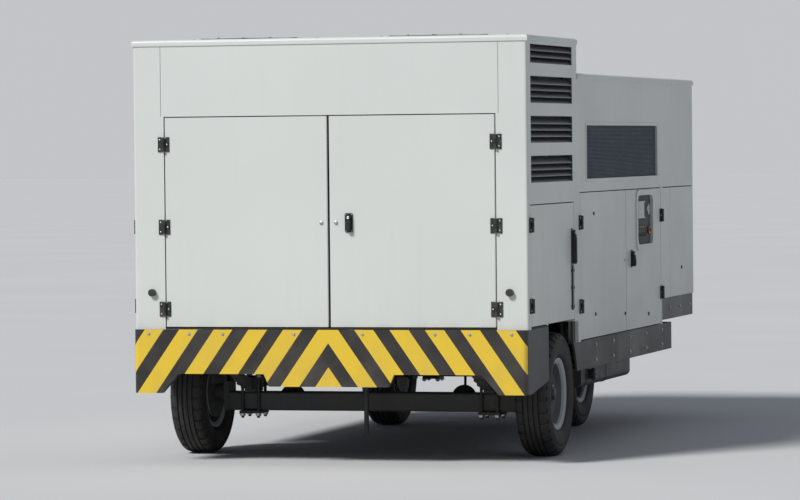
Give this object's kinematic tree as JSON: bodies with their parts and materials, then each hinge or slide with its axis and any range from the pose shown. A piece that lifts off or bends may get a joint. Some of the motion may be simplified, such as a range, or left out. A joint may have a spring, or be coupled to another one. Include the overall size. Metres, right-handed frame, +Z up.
{
  "type": "aircraft ground air conditioning trailer",
  "caption": "Towed aircraft air conditioning unit with tall louvred condenser end, service doors, roof fans, turntable steering and a striped rear board.",
  "frame": {"origin": "centre of the footprint on the ground, midway between the striped board's face and the tip of the tow eye", "axes": "+X to the right seen from behind, +Y forward towards the tow bar, +Z up"},
  "size_m": [2.358, 5.9341, 2.412],
  "materials": {
    "body": "satin white paint",
    "chassis": "semi-gloss dark grey paint",
    "spring": "black paint",
    "dark": "semi-gloss black paint",
    "stripes": "yellow and black diagonal stripes",
    "slate": "slate paint",
    "black": "black paint",
    "coil": "finned coil",
    "grille": "slate grille",
    "steel": "zinc plated",
    "engine": "cast and painted",
    "exhaust": "heat-tinted steel",
    "screen": "dark glossy panel",
    "tyre": "tread rubber",
    "rim": "light grey paint",
    "fan": "black moulding"
  },
  "bodies": {
    "body": {"chassis_rails": "chassis", "side_sills": "chassis", "floor_pan": "chassis", "rear_axle": "chassis", "rear_springs": "spring", "turntable_ring": "chassis", "fuel_tank": "dark", "battery_box": "dark", "rear_board": "stripes", "front_bumper": "slate", "tall_posts": "body", "tall_roof": "body", "bulkhead": "body", "low_posts": "body", "low_roof": "body", "fan_guards": "black", "louvre_panels": "body", "condenser_coils": "coil", "fixed_panels": "body", "intake_grilles": "grille", "front_panel": "body", "air_outlets": "steel", "door_hinges": "black", "engine_block": "engine", "exhaust_stack": "exhaust", "drain_pipe": "black"},
    "steering": {"steer_frame": "chassis", "front_axle": "chassis"},
    "tow_bar": {"tow_bar": "black"},
    "wheel_rear_left": {"tyre_rear_left": "tyre", "rim_rear_left": "rim"},
    "wheel_rear_right": {"tyre_rear_right": "tyre", "rim_rear_right": "rim"},
    "wheel_front_left": {"tyre_front_left": "tyre", "rim_front_left": "rim"},
    "wheel_front_right": {"tyre_front_right": "tyre", "rim_front_right": "rim"},
    "fan_left": {"fan_left": "fan"},
    "fan_right": {"fan_right": "fan"},
    "door_rear_left": {"door_rear_left": "body"},
    "door_tall_left": {"door_tall_left": "body"},
    "door_side_left_1": {"door_side_left_1": "body"},
    "door_side_left_2": {"door_side_left_2": "body"},
    "door_rear_right": {"door_rear_right": "body"},
    "door_tall_right": {"door_tall_right": "body"},
    "door_side_right_1": {"door_side_right_1": "body"},
    "door_side_right_2": {"door_side_right_2": "body", "control_panel": "screen"}
  },
  "joints": [
    {"name": "steering_turn", "type": "hinge", "parent": "body", "child": "steering", "pos_m": [0, 0.41785, 0.7], "axis": [0, 0, 1], "range_deg": [-40, 40]},
    {"name": "tow_bar_lift", "type": "hinge", "parent": "steering", "child": "tow_bar", "pos_m": [0, 1.51785, 0.36], "axis": [1, 0, 0], "range_deg": [0, 33]},
    {"name": "wheel_rear_left_roll", "type": "hinge", "parent": "body", "child": "wheel_rear_left", "pos_m": [-1.03, -2.07215, 0.355], "axis": [1, 0, 0], "continuous": true},
    {"name": "wheel_rear_right_roll", "type": "hinge", "parent": "body", "child": "wheel_rear_right", "pos_m": [1.03, -2.07215, 0.355], "axis": [1, 0, 0], "continuous": true},
    {"name": "wheel_front_left_roll", "type": "hinge", "parent": "steering", "child": "wheel_front_left", "pos_m": [-0.59, 0.41785, 0.355], "axis": [1, 0, 0], "continuous": true},
    {"name": "wheel_front_right_roll", "type": "hinge", "parent": "steering", "child": "wheel_front_right", "pos_m": [0.59, 0.41785, 0.355], "axis": [1, 0, 0], "continuous": true},
    {"name": "fan_left_spin", "type": "hinge", "parent": "body", "child": "fan_left", "pos_m": [-0.56, -2.32215, 2.305], "axis": [0, 0, 1], "continuous": true},
    {"name": "fan_right_spin", "type": "hinge", "parent": "body", "child": "fan_right", "pos_m": [0.56, -2.32215, 2.305], "axis": [0, 0, 1], "continuous": true},
    {"name": "door_rear_left_swing", "type": "hinge", "parent": "body", "child": "door_rear_left", "pos_m": [-0.97, -2.94415, 1.37], "axis": [0, 0, -1], "range_deg": [0, 105]},
    {"name": "door_tall_left_swing", "type": "hinge", "parent": "body", "child": "door_tall_left", "pos_m": [-1.162, -2.87215, 1.115], "axis": [0, 0, 1], "range_deg": [0, 105]},
    {"name": "door_side_left_1_swing", "type": "hinge", "parent": "body", "child": "door_side_left_1", "pos_m": [-1.162, -1.65215, 1.0765], "axis": [0, 0, 1], "range_deg": [0, 105]},
    {"name": "door_side_left_2_swing", "type": "hinge", "parent": "body", "child": "door_side_left_2", "pos_m": [-1.162, 0.62785, 1.0765], "axis": [0, 0, -1], "range_deg": [0, 105]},
    {"name": "door_rear_right_swing", "type": "hinge", "parent": "body", "child": "door_rear_right", "pos_m": [0.97, -2.94415, 1.37], "axis": [0, 0, 1], "range_deg": [0, 105]},
    {"name": "door_tall_right_swing", "type": "hinge", "parent": "body", "child": "door_tall_right", "pos_m": [1.162, -2.87215, 1.115], "axis": [0, 0, -1], "range_deg": [0, 105]},
    {"name": "door_side_right_1_swing", "type": "hinge", "parent": "body", "child": "door_side_right_1", "pos_m": [1.162, -1.65215, 1.0765], "axis": [0, 0, -1], "range_deg": [0, 105]},
    {"name": "door_side_right_2_swing", "type": "hinge", "parent": "body", "child": "door_side_right_2", "pos_m": [1.162, 0.62785, 1.0765], "axis": [0, 0, 1], "range_deg": [0, 105]}
  ]
}
